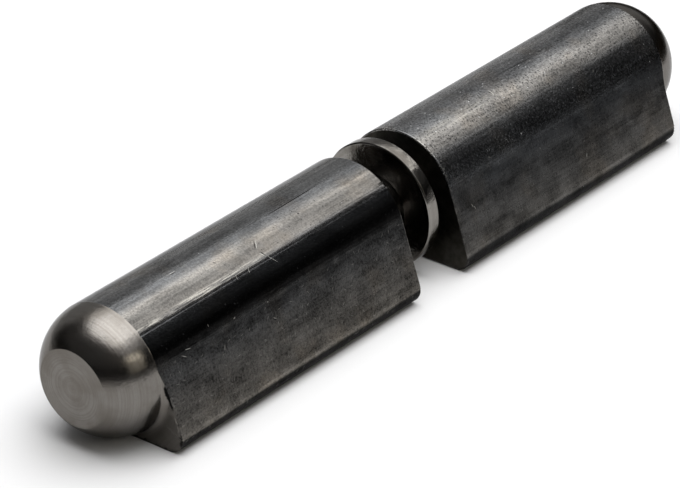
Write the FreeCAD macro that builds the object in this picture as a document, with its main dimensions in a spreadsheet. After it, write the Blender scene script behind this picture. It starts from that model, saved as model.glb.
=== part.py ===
"""Weld-on barrel hinge: two leaves of drop-shaped bar that turn on a loose pin, with a washer between them.

Millimetres. +X runs along the hinge axis from the lower leaf to the upper leaf, +Z is up, and the hinge lies
on one flat flank of each leaf with its tangs towards -Y. The origin is under the middle of the hinge.
"""
import FreeCAD, Part
import math
import os

import Sketcher

# Driving sizes, each with its name, its value and what it measures
SIZES = (
    ("barrel_diameter", 16.0, "round part of the drawn bar"),
    ("tang_angle", 72.0, "degrees between the two flat flanks of the tang"),
    ("tang_tip_radius", 2.0, "blunt edge of the tang"),
    ("leaf_length", 49.1, "one leaf, from its sawn end to the flat of its nose"),
    ("nose_arc_radius", 7.7, "turned corner of the nose"),
    ("nose_flat_diameter", 9.6, "flat left in the middle of the nose"),
    ("tool_corner_radius", 0.8, "fillet that the cutter leaves between nose and tang"),
    ("end_edge_break", 0.2, "broken edge round the sawn end"),
    ("bore_mouth_chamfer", 0.5, "chamfer at the mouth of the bore"),
    ("drill_point_angle", 118.0, "degrees across the cone at the bottom of the bore"),
    ("bore_end_clearance", 0.2, "room past the end of the pin"),
    ("pin_diameter", 8.0, "hinge pin"),
    ("pin_length", 64.0, "hinge pin, end to end"),
    ("pin_held_length", 32.0, "pin inside the lower leaf"),
    ("pin_end_chamfer", 0.8, "chamfer at both ends of the pin"),
    ("pin_clearance", 0.05, "between pin and bore wall, all round"),
    ("washer_diameter", 16.0, "outside of the washer"),
    ("washer_thickness", 1.8, "washer, face to face"),
    ("washer_edge_break", 0.3, "broken outer edges of the washer"),
    ("washer_clearance", 0.08, "between pin and washer, all round"),
    ("lower_gap", 4.6, "from the lower leaf to the washer, as the hinge lies"),
    ("upper_gap", 2.7, "from the washer to the upper leaf, as the hinge lies"),
)
VALUE = {name: value for name, value, _ in SIZES}

# Lengths and places that follow from the driving sizes
BARREL_RADIUS = "Sizes.barrel_diameter / 2"
HALF_ANGLE = "Sizes.tang_angle / 2"
BORE_DIAMETER = "Sizes.pin_diameter + 2 * Sizes.pin_clearance"
BORE_DEPTH = (
    "max(Sizes.pin_held_length; Sizes.pin_length - Sizes.pin_held_length - Sizes.washer_thickness)"
    " + Sizes.bore_end_clearance"
)
TANG_REACH = f"({BARREL_RADIUS} - Sizes.tang_tip_radius) / sin({HALF_ANGLE}) + Sizes.tang_tip_radius"
GAP_BETWEEN_LEAVES = "Sizes.lower_gap + Sizes.washer_thickness + Sizes.upper_gap"
AXIS_Y = f"({BARREL_RADIUS} - Sizes.tang_tip_radius) * (1 / tan({HALF_ANGLE}) - 1) / 2"
LOWER_END_X = f"-({GAP_BETWEEN_LEAVES}) / 2"
UPPER_END_X = f"({GAP_BETWEEN_LEAVES}) / 2"

# Point numbers of a sketched curve, and the number of the sketch's own origin and horizontal axis
START, END, CENTRE = 1, 2, 3
ORIGIN = -1
TOLERANCE = 1e-6


def make_sheet(doc):
    """Put the driving sizes into the document's spreadsheet, one row each."""
    sheet = doc.addObject("Spreadsheet::Sheet", "Sizes")
    for row, (name, value, meaning) in enumerate(SIZES, start=1):
        sheet.set(f"A{row}", name)
        sheet.set(f"B{row}", str(value))
        sheet.set(f"C{row}", meaning)
        sheet.setAlias(f"B{row}", name)
    doc.recompute()


def sketch_on(body, role, name):
    """Start a sketch on one of the body's own origin planes."""
    sketch = body.newObject("Sketcher::SketchObject", name)
    plane = next(item for item in body.Origin.OriginFeatures if item.Role == role)
    sketch.AttachmentSupport = [(plane, "")]
    sketch.MapMode = "FlatFace"
    return sketch


def bind(sketch, kind, geometry, expression, name):
    """Add a dimension to the sketch and tie it to the sheet."""
    index = sketch.addConstraint(Sketcher.Constraint(kind, *geometry))
    sketch.renameConstraint(index, name)
    sketch.setExpression(f"Constraints.{name}", expression)


def vector(x, y):
    """Point in the plane of a sketch."""
    return FreeCAD.Vector(x, y, 0)


def arc(centre_x, centre_y, radius, start_degrees, end_degrees):
    """Arc drawn anticlockwise in the plane of a sketch."""
    circle = Part.Circle(vector(centre_x, centre_y), FreeCAD.Vector(0, 0, 1), radius)
    return Part.ArcOfCircle(circle, math.radians(start_degrees), math.radians(end_degrees))


def line(start, end):
    """Line in the plane of a sketch."""
    return Part.LineSegment(vector(*start), vector(*end))


def draw_drop_section(body):
    """Sketch the drawn bar's section: a round barrel with two flat flanks that run to a blunt tip."""
    sketch = sketch_on(body, "YZ_Plane", body.Name + "_section")
    barrel = VALUE["barrel_diameter"] / 2
    tip = VALUE["tang_tip_radius"]
    half = VALUE["tang_angle"] / 2
    seam = 90 + half
    tip_x = -(barrel - tip) / math.sin(math.radians(half))
    seam_x = math.cos(math.radians(seam))
    seam_y = math.sin(math.radians(seam))
    round_barrel = sketch.addGeometry(arc(0, 0, barrel, -seam, seam))
    upper_flank = sketch.addGeometry(
        line((tip_x + tip * seam_x, tip * seam_y), (barrel * seam_x, barrel * seam_y)))
    blunt_tip = sketch.addGeometry(arc(tip_x, 0, tip, seam, 360 - seam))
    lower_flank = sketch.addGeometry(
        line((tip_x + tip * seam_x, -tip * seam_y), (barrel * seam_x, -barrel * seam_y)))
    sketch.addConstraint([
        Sketcher.Constraint("Coincident", round_barrel, CENTRE, ORIGIN, START),
        Sketcher.Constraint("PointOnObject", blunt_tip, CENTRE, ORIGIN),
        Sketcher.Constraint("Tangent", round_barrel, END, upper_flank, END),
        Sketcher.Constraint("Tangent", upper_flank, START, blunt_tip, START),
        Sketcher.Constraint("Tangent", blunt_tip, END, lower_flank, START),
        Sketcher.Constraint("Tangent", lower_flank, END, round_barrel, START),
    ])
    bind(sketch, "Radius", (round_barrel, barrel), BARREL_RADIUS, "barrel_radius")
    bind(sketch, "Radius", (blunt_tip, tip), "Sizes.tang_tip_radius", "tip_radius")
    bind(sketch, "Angle", (upper_flank, math.radians(half)), HALF_ANGLE, "half_angle")
    return sketch


def draw_nose_cut(body):
    """Sketch what the cutter takes away round the nose: beside the flat, the nose arc and the tang's end."""
    sketch = sketch_on(body, "XZ_Plane", body.Name + "_nose_cut")
    length = VALUE["leaf_length"]
    nose = VALUE["nose_arc_radius"]
    tool = VALUE["tool_corner_radius"]
    flat = VALUE["nose_flat_diameter"] / 2
    barrel = VALUE["barrel_diameter"] / 2
    reach = 1.5 * barrel / math.sin(math.radians(VALUE["tang_angle"] / 2))
    nose_z = barrel - nose
    nose_x = math.sqrt(nose ** 2 - (flat - nose_z) ** 2) - length
    rim = math.degrees(math.atan2(flat - nose_z, -length - nose_x))
    touch = math.degrees(math.acos(-tool / (nose + tool)))
    tool_z = nose_z + math.sqrt((nose + tool) ** 2 - tool ** 2)
    nose_arc = sketch.addGeometry(arc(nose_x, nose_z, nose, touch, rim))
    tool_arc = sketch.addGeometry(arc(nose_x - tool, tool_z, tool, touch - 180, 0))
    tang_end = sketch.addGeometry(line((nose_x, tool_z), (nose_x, reach)))
    outside = sketch.addGeometry(line((nose_x, reach), (-length, reach)))
    flat_side = sketch.addGeometry(line((-length, reach), (-length, flat)))
    sketch.addConstraint([
        Sketcher.Constraint("Tangent", nose_arc, START, tool_arc, START),
        Sketcher.Constraint("Tangent", tool_arc, END, tang_end, START),
        Sketcher.Constraint("Coincident", tang_end, END, outside, START),
        Sketcher.Constraint("Coincident", outside, END, flat_side, START),
        Sketcher.Constraint("Coincident", flat_side, END, nose_arc, END),
        Sketcher.Constraint("Vertical", tang_end),
        Sketcher.Constraint("Horizontal", outside),
        Sketcher.Constraint("Vertical", flat_side),
        Sketcher.Constraint("Vertical", nose_arc, CENTRE, tang_end, START),
    ])
    bind(sketch, "Radius", (nose_arc, nose), "Sizes.nose_arc_radius", "nose_radius")
    bind(sketch, "Radius", (tool_arc, tool), "Sizes.tool_corner_radius", "tool_radius")
    bind(sketch, "DistanceY", (ORIGIN, START, nose_arc, CENTRE, nose_z),
         f"{BARREL_RADIUS} - Sizes.nose_arc_radius", "arc_centre_height")
    bind(sketch, "DistanceY", (ORIGIN, START, flat_side, END, flat), "Sizes.nose_flat_diameter / 2", "flat_radius")
    bind(sketch, "DistanceX", (flat_side, END, ORIGIN, START, length), "Sizes.leaf_length", "nose_end")
    bind(sketch, "DistanceY", (ORIGIN, START, outside, START, reach), f"1.5 * ({TANG_REACH})", "cut_reach")
    return sketch


def draw_circles(body, name, diameters):
    """Sketch circles round the hinge axis. The diameters are pairs of a first value and its expression."""
    sketch = sketch_on(body, "YZ_Plane", name)
    for number, (value, expression) in enumerate(diameters):
        circle = sketch.addGeometry(Part.Circle(vector(0, 0), FreeCAD.Vector(0, 0, 1), value / 2))
        sketch.addConstraint(Sketcher.Constraint("Coincident", circle, CENTRE, ORIGIN, START))
        bind(sketch, "Diameter", (circle, value), expression, f"diameter_{number}")
    return sketch


def pad(body, sketch, length, backwards=False):
    """Give the sketched outline a length along the hinge axis, from the body's origin."""
    feature = body.newObject("PartDesign::Pad", body.Name + "_bar")
    feature.Profile = sketch
    feature.Reversed = backwards
    feature.setExpression("Length", length)
    body.Document.recompute()
    return feature


def chamfer(body, base, names, size):
    """Break the named edges, or all edges of the named faces, of a feature."""
    feature = body.newObject("PartDesign::Chamfer", body.Name + "_edge_break")
    feature.Base = (base, names)
    feature.setExpression("Size", size)
    body.Document.recompute()
    return feature


def face_at_origin(feature):
    """Name the flat face of a feature that lies in the body's own YZ plane."""
    for number, face in enumerate(feature.Shape.Faces, start=1):
        box = face.BoundBox
        if box.XLength < TOLERANCE and abs(box.XMin) < TOLERANCE:
            return [f"Face{number}"]
    raise ValueError(f"{feature.Name} has no end face at its origin")


def round_edges(feature, diameter):
    """Name the full circles of one diameter on a feature."""
    names = []
    for number, edge in enumerate(feature.Shape.Edges, start=1):
        full = isinstance(edge.Curve, Part.Circle) and edge.isClosed()
        if full and abs(2 * edge.Curve.Radius - diameter) < TOLERANCE:
            names.append(f"Edge{number}")
    return names


def turn_nose(body):
    """Turn the closed end to a bullet nose. The same cut squares the end of the tang."""
    before = body.Shape.Volume
    groove = body.newObject("PartDesign::Groove", body.Name + "_nose")
    groove.Profile = draw_nose_cut(body)
    groove.ReferenceAxis = (next(item for item in body.Origin.OriginFeatures if item.Role == "X_Axis"), [""])
    groove.Angle = 360
    body.Document.recompute()
    if body.Shape.Volume >= before:
        raise ValueError(f"the nose of {body.Name} wasn't cut")
    return groove


def drill_bore(body):
    """Drill the blind bore for the pin into the sawn end, with a chamfered mouth and a drill point."""
    before = body.Shape.Volume
    mouth = draw_circles(body, body.Name + "_bore_mouth", [
        (VALUE["pin_diameter"] + 2 * VALUE["pin_clearance"], BORE_DIAMETER)])
    body.Document.recompute()
    hole = body.newObject("PartDesign::Hole", body.Name + "_bore")
    hole.Profile = mouth
    hole.ThreadType = "None"
    hole.DepthType = "Dimension"
    hole.DrillPoint = "Angled"
    hole.HoleCutType = "Countersink"
    hole.HoleCutCountersinkAngle = 90
    hole.setExpression("DrillPointAngle", "Sizes.drill_point_angle")
    hole.setExpression("HoleCutDiameter", f"{BORE_DIAMETER} + 2 * Sizes.bore_mouth_chamfer")
    hole.setExpression("Diameter", BORE_DIAMETER)
    hole.setExpression("Depth", BORE_DEPTH)
    body.Document.recompute()
    if body.Shape.Volume >= before:
        raise ValueError(f"the bore of {body.Name} wasn't cut")


def place(body, x, turn="rotation(vector(1; 0; 0); 0)"):
    """Set a body on the hinge axis at x, turned as given."""
    body.setExpression("Placement", f"placement(vector({x}; {AXIS_Y}; {BARREL_RADIUS}); {turn})")


def make_leaf(doc, name, end_x, turn):
    """One leaf: a length of drop-shaped bar, its nose turned, its sawn end deburred and drilled.

    It is drawn with the middle of its sawn end at its origin, its nose towards -X and its tang towards -Y.
    """
    body = doc.addObject("PartDesign::Body", name)
    pad(body, draw_drop_section(body), "Sizes.leaf_length", backwards=True)
    nose = turn_nose(body)
    chamfer(body, nose, face_at_origin(nose), "Sizes.end_edge_break")
    drill_bore(body)
    place(body, end_x, turn)
    return body


def make_pin(doc):
    """Plain round pin with chamfered ends, drawn from its end inside the lower leaf."""
    body = doc.addObject("PartDesign::Body", "pin")
    outline = draw_circles(body, "pin_section", [(VALUE["pin_diameter"], "Sizes.pin_diameter")])
    bar = pad(body, outline, "Sizes.pin_length")
    chamfer(body, bar, round_edges(bar, VALUE["pin_diameter"]), "Sizes.pin_end_chamfer")
    place(body, f"{LOWER_END_X} - Sizes.pin_held_length")
    return body


def make_washer(doc):
    """Turned washer with broken outer edges, drawn from its face towards the lower leaf."""
    body = doc.addObject("PartDesign::Body", "washer")
    outline = draw_circles(body, "washer_section", [
        (VALUE["washer_diameter"], "Sizes.washer_diameter"),
        (VALUE["pin_diameter"] + 2 * VALUE["washer_clearance"],
         "Sizes.pin_diameter + 2 * Sizes.washer_clearance"),
    ])
    ring = pad(body, outline, "Sizes.washer_thickness")
    chamfer(body, ring, round_edges(ring, VALUE["washer_diameter"]), "Sizes.washer_edge_break")
    place(body, f"{LOWER_END_X} + Sizes.lower_gap")
    return body


def check(doc, bodies):
    """Stop if any feature failed or any piece isn't one sound solid."""
    doc.recompute()
    for item in doc.Objects:
        if "Invalid" in item.State or "Error" in item.State:
            raise ValueError(f"{item.Name} failed: {item.State}")
    for body in bodies:
        shape = body.Shape
        if shape.isNull() or not shape.isValid() or len(shape.Solids) != 1:
            raise ValueError(f"{body.Name} isn't one sound solid")
        print(f"{body.Name}: {shape.Volume:.1f} mm3")


def main():
    """Build the hinge and write one file for each piece."""
    doc = FreeCAD.newDocument("barrel_hinge")
    make_sheet(doc)
    lying = f"rotation(vector(1; 0; 0); {HALF_ANGLE})"
    bodies = [
        make_leaf(doc, "lower_leaf", LOWER_END_X, lying),
        make_leaf(doc, "upper_leaf", UPPER_END_X, f"{lying} * rotation(vector(0; 1; 0); 180)"),
        make_pin(doc),
        make_washer(doc),
    ]
    check(doc, bodies)
    os.makedirs("parts", exist_ok=True)
    for body in bodies:
        body.Label = body.Name
        body.Shape.exportStep(f"parts/{body.Label}.step")


main()
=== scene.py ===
"""Weld-on barrel hinge, dressed and lit for its picture.

Metres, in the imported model's own frame: +X runs along the hinge axis from the lower leaf to the upper leaf,
+Z is up, and the hinge lies on one flat flank of each leaf with its tangs towards -Y.
"""

import logging
import math
from dataclasses import dataclass
from enum import Enum
from functools import reduce
from typing import Callable, Sequence

import bmesh
import bpy
from mathutils import Euler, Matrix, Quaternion, Vector

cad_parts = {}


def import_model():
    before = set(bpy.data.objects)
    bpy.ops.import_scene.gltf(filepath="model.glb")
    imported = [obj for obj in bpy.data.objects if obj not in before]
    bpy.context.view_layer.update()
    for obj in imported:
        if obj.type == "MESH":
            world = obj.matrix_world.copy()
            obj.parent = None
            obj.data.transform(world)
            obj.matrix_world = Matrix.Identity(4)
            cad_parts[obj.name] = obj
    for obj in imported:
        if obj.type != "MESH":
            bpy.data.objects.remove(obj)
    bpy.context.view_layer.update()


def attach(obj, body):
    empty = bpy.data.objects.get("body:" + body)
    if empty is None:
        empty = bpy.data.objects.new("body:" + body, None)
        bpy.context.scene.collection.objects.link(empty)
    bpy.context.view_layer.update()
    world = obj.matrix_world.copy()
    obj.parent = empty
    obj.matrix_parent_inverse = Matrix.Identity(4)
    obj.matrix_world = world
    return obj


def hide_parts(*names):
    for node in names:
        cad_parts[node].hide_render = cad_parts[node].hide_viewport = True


log = logging.getLogger("barrel_hinge")

MM = 0.001

# The drop section: its barrel, its blunt tip, half the angle between its flanks in degrees, and where barrel
# and flank meet
BARREL_RADIUS = 8.0 * MM
TIP_RADIUS = 2.0 * MM
HALF_ANGLE = 36.0
SEAM = math.radians(90.0 + HALF_ANGLE)

# The hinge axis, and the distance of each leaf's sawn end from the middle
AXIS_Z = BARREL_RADIUS
AXIS_Y = (AXIS_Z - TIP_RADIUS) * (1.0 / math.tan(math.radians(HALF_ANGLE)) - 1.0) / 2
AXIS = (0.0, AXIS_Y, AXIS_Z)
SAWN_END_X = 4.55 * MM

# Places closer than these are the same
SAME_X = 1e-7
SAME = 1e-6

Point = tuple[float, float]
Colour = tuple[float, float, float]
Socket = bpy.types.NodeSocket
Value = bpy.types.NodeSocket | float
Paint = bpy.types.NodeSocket | Colour
Tone = tuple[float, float, float]


class LeafPlace(Enum):
    """Where a leaf lies: its CAD node, the direction of its nose and its turn out of the drawn position."""

    LOWER = ("lower_leaf", -1.0, (HALF_ANGLE, 0.0, 0.0))
    UPPER = ("upper_leaf", 1.0, (-HALF_ANGLE, 180.0, 0.0))

    @property
    def node(self) -> str:
        """Name of the CAD node, and of the body it rides on."""
        return self.value[0]

    @property
    def side(self) -> float:
        """Sign of X on this leaf's side of the washer."""
        return self.value[1]

    @property
    def turn(self) -> Euler:
        """Turn from the drawn position to the place where the leaf lies."""
        return Euler([math.radians(angle) for angle in self.value[2]], "XYZ")


class LeafSkin(Enum):
    """Surfaces of a leaf, in the order of its material slots."""

    DRAWN = 0
    TURNED = 1
    SAWN = 2
    DRILLED = 3


def lay_down_tools() -> None:
    """Leave edit mode and deselect everything."""
    if bpy.context.object is not None and bpy.context.object.mode != "OBJECT":
        bpy.ops.object.mode_set(mode="OBJECT")
    bpy.ops.object.select_all(action="DESELECT")


def take(piece: bpy.types.Object) -> None:
    """Make one piece the only selected one and the active one.

    Args:
        piece: The piece.
    """
    lay_down_tools()
    piece.select_set(True)
    bpy.context.view_layer.objects.active = piece


def pick(piece: bpy.types.Object, kind: str, test: Callable[[object], bool]) -> None:
    """Select vertices, edges or faces of the piece in edit mode, and nothing else.

    Args:
        piece: The piece in edit mode.
        kind: "verts", "edges" or "faces".
        test: Says of one element whether it is wanted.
    """
    bpy.ops.mesh.select_mode(type={"verts": "VERT", "edges": "EDGE", "faces": "FACE"}[kind])
    bpy.ops.mesh.select_all(action="DESELECT")
    mesh = bmesh.from_edit_mesh(piece.data)
    for element in [each for each in getattr(mesh, kind) if test(each)]:
        element.select_set(True)
    mesh.select_flush_mode()
    bmesh.update_edit_mesh(piece.data)


def fix_place(piece: bpy.types.Object) -> None:
    """Move a piece's place, turn and scale into its mesh."""
    take(piece)
    bpy.ops.object.transform_apply(location=True, rotation=True, scale=True)


def shade(piece: bpy.types.Object, degrees: float) -> None:
    """Shade smooth where faces meet at less than the given angle."""
    take(piece)
    bpy.ops.object.shade_smooth_by_angle(angle=math.radians(degrees))


def arc(x: float, radius: float, bend: float, start: float, end: float, steps: int) -> list[Point]:
    """Points along an arc in the plane of an outline.

    Args:
        x: Place of the arc's centre along the hinge axis.
        radius: Distance of the arc's centre from the hinge axis.
        bend: Radius of the arc.
        start: First angle in degrees from +X, towards larger radii.
        end: Last angle in degrees.
        steps: Number of steps between them.

    Returns:
        The points, the first and the last included.
    """
    angles = [math.radians(start + (end - start) * step / steps) for step in range(steps + 1)]
    return [(x + bend * math.cos(a), radius + bend * math.sin(a)) for a in angles]


def soften(before: Point, corner: Point, after: Point, size: float, steps: int = 3) -> list[Point]:
    """Round the corner of an outline.

    Args:
        before: The point before the corner.
        corner: The corner.
        after: The point after the corner.
        size: How far back from the corner the round starts, on both sides.
        steps: Number of steps in the round.

    Returns:
        The points that take the corner's place.
    """
    middle = Vector(corner)
    first = middle + (Vector(before) - middle).normalized() * size
    last = middle + (Vector(after) - middle).normalized() * size
    points = []
    for step in range(steps + 1):
        t = step / steps
        point = first * (1 - t) ** 2 + middle * 2 * t * (1 - t) + last * t ** 2
        points.append((point.x, point.y))
    return points


def soften_all(corners: Sequence[Point], size: float, ring: bool = False) -> list[Point]:
    """Round the corners of an outline. An open one keeps its first and its last point.

    Args:
        corners: The outline.
        size: How far back from each corner its round starts.
        ring: True if the outline is closed.

    Returns:
        The outline with its corners rounded.
    """
    outline: list[Point] = []
    for number, corner in enumerate(corners):
        if ring or 0 < number < len(corners) - 1:
            outline += soften(corners[number - 1], corner, corners[(number + 1) % len(corners)], size)
        else:
            outline.append(corner)
    return outline


def turn_outline(name: str, outline: Sequence[Point], sides: int, ring: bool = False) -> bpy.types.Object:
    """Turn an outline round the X axis, as on a lathe, one step of the outline after another.

    Args:
        name: Name of the new piece.
        outline: Place along the axis and radius of each point.
        sides: Number of sides round the axis.
        ring: True if the outline is closed, with its last point joined to its first.

    Returns:
        The turned piece, its faces outwards.
    """
    lay_down_tools()
    x, radius = outline[0]
    bpy.ops.mesh.primitive_circle_add(
        vertices=sides, radius=radius, fill_type="NOTHING" if ring else "NGON",
        location=(x, 0, 0), rotation=(0, math.pi / 2, 0))
    piece = bpy.context.object
    piece.name = piece.data.name = name
    fix_place(piece)
    bpy.ops.object.mode_set(mode="EDIT")
    bpy.ops.mesh.select_all(action="SELECT")
    for (last_x, last_radius), (x, radius) in zip(outline, outline[1:]):
        bpy.ops.mesh.extrude_region_move(TRANSFORM_OT_translate={"value": (x - last_x, 0, 0)})
        grow = radius / last_radius
        bpy.ops.transform.resize(value=(1, grow, grow), center_override=(x, 0, 0))
    if ring:
        ends = (outline[0], outline[-1])
        pick(piece, "edges", lambda edge: all(
            any(abs(v.co.x - end_x) < SAME_X and abs(v.co.yz.length - end_radius) < SAME
                for end_x, end_radius in ends)
            and abs(v.co.yz.length - edge.verts[0].co.yz.length) < SAME for v in edge.verts))
        bpy.ops.mesh.bridge_edge_loops()
    bpy.ops.mesh.select_all(action="SELECT")
    bpy.ops.mesh.normals_make_consistent(inside=False)
    bpy.ops.object.mode_set(mode="OBJECT")
    return piece


def set_on_axis(piece: bpy.types.Object) -> None:
    """Move a turned piece onto the hinge axis and shade it.

    Args:
        piece: The piece, turned round the X axis.
    """
    piece.location = AXIS
    fix_place(piece)
    shade(piece, 25.0)


def join_shapes(piece: bpy.types.Object, tool: bpy.types.Object, operation: str) -> None:
    """Cut a piece with a tool shape and throw the tool away.

    Args:
        piece: The piece that is cut.
        tool: The shape that cuts it.
        operation: "INTERSECT" keeps what is inside the tool, "DIFFERENCE" what is outside.
    """
    take(piece)
    bpy.ops.object.modifier_add(type="BOOLEAN")
    cut = piece.modifiers[-1]
    cut.operation = operation
    cut.solver = "EXACT"
    cut.object = tool
    bpy.ops.object.modifier_apply(modifier=cut.name)
    bpy.ops.object.mode_set(mode="EDIT")
    bpy.ops.mesh.select_all(action="SELECT")
    bpy.ops.mesh.remove_doubles(threshold=0.0005 * MM)
    take(tool)
    bpy.ops.object.delete()


@dataclass(frozen=True)
class Unevenness:
    """How far a surface moves, and which way: along its own normals or along one axis.

    Without clouds it moves by the full strength. With clouds it stays where their value is the level, and
    moves by the strength where the two are 1 apart.
    """

    name: str
    strength: float
    level: float = 0.0
    cloud_size: float | None = None
    cloud_depth: int = 2
    direction: str = "NORMAL"

    def work_in(self, piece: bpy.types.Object, weigh: Callable[[bpy.types.MeshVertex], float]) -> None:
        """Move the surface of a piece where a weight says so.

        Args:
            piece: The piece.
            weigh: Gives the weight of a vertex, from 0 to 1.
        """
        group = piece.vertex_groups.new(name=self.name)
        for vertex in piece.data.vertices:
            weight = weigh(vertex)
            if weight > 0.0:
                group.add([vertex.index], weight, "REPLACE")
        take(piece)
        bpy.ops.object.modifier_add(type="DISPLACE")
        move = piece.modifiers[-1]
        move.vertex_group = group.name
        move.direction = self.direction
        move.mid_level = self.level
        move.strength = self.strength
        if self.cloud_size is not None:
            move.texture = bpy.data.textures.new(self.name, "CLOUDS")
            move.texture.noise_scale = self.cloud_size
            move.texture.noise_depth = self.cloud_depth
            move.texture_coords = "LOCAL"
        bpy.ops.object.modifier_apply(modifier=move.name)
        piece.vertex_groups.clear()


@dataclass(frozen=True)
class Mark:
    """One scratch or dent on a leaf, from a start to an end.

    Each is a place along the hinge axis and a distance round the bar's section from the line opposite the
    tang, both in millimetres.
    """

    start: Point
    end: Point
    width: float


class Wiring:
    """Lays out nodes in one node tree."""

    def __init__(self, tree: bpy.types.NodeTree) -> None:
        """Start on a tree as it is."""
        self.tree = tree

    def node(self, kind: str, inputs: dict | None = None, **settings: object) -> bpy.types.Node:
        """Add a node.

        Args:
            kind: The node's type, without its ShaderNode prefix.
            inputs: Values or sockets for its inputs, by name or number.
            settings: The node's own settings.

        Returns:
            The node.
        """
        made = self.tree.nodes.new("ShaderNode" + kind)
        for key, value in settings.items():
            setattr(made, key, value)
        for key, value in (inputs or {}).items():
            socket = made.inputs[key]
            if isinstance(value, Socket):
                self.tree.links.new(value, socket)
            elif socket.type == "RGBA":
                socket.default_value = (*value, 1.0)
            else:
                socket.default_value = value
        return made

    def apart(self, vector: Socket) -> tuple[Socket, Socket, Socket]:
        """The three components of a vector."""
        return tuple(self.node("SeparateXYZ", {0: vector}).outputs)

    def calc(self, operation: str, *values: Value) -> Socket:
        """One step of arithmetic, named as the Math node names it."""
        return self.node("Math", dict(enumerate(values)), operation=operation).outputs[0]

    def plus(self, *values: Value) -> Socket:
        """Sum of the values."""
        return reduce(lambda so_far, value: self.calc("ADD", so_far, value), values)

    def times(self, *values: Value) -> Socket:
        """Product of the values."""
        return reduce(lambda so_far, value: self.calc("MULTIPLY", so_far, value), values)

    def ramp(self, value: Value, low: float, high: float, to_low: float = 0.0, to_high: float = 1.0,
             linear: bool = False) -> Socket:
        """Map a value from one range to another, held at both ends.

        Args:
            value: The value.
            low: Where the first range starts, which may be above its end.
            high: Where it ends.
            to_low: Where the second range starts.
            to_high: Where it ends.
            linear: True for a straight line, and otherwise it eases in and out.

        Returns:
            Socket with the mapped value.
        """
        return self.node("MapRange", {"Value": value, "From Min": low, "From Max": high,
                                      "To Min": to_low, "To Max": to_high},
                         interpolation_type="LINEAR" if linear else "SMOOTHSTEP").outputs[0]

    def levels(self, value: Socket, stops: Sequence[tuple[float, Colour]], how: str = "LINEAR") -> Socket:
        """Colour that follows a value through a row of stops.

        Args:
            value: The value, from 0 to 1.
            stops: Values and the colour at each.
            how: "LINEAR" or "EASE" between them.

        Returns:
            Socket with the colour.
        """
        ramp = self.node("ValToRGB", {"Fac": value})
        ramp.color_ramp.interpolation = how
        points = ramp.color_ramp.elements
        while len(points) < len(stops):
            points.new(0.5)
        for point, (place, colour) in zip(points, stops):
            point.position = place
            point.color = (*colour, 1.0)
        return ramp.outputs["Color"]


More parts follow.
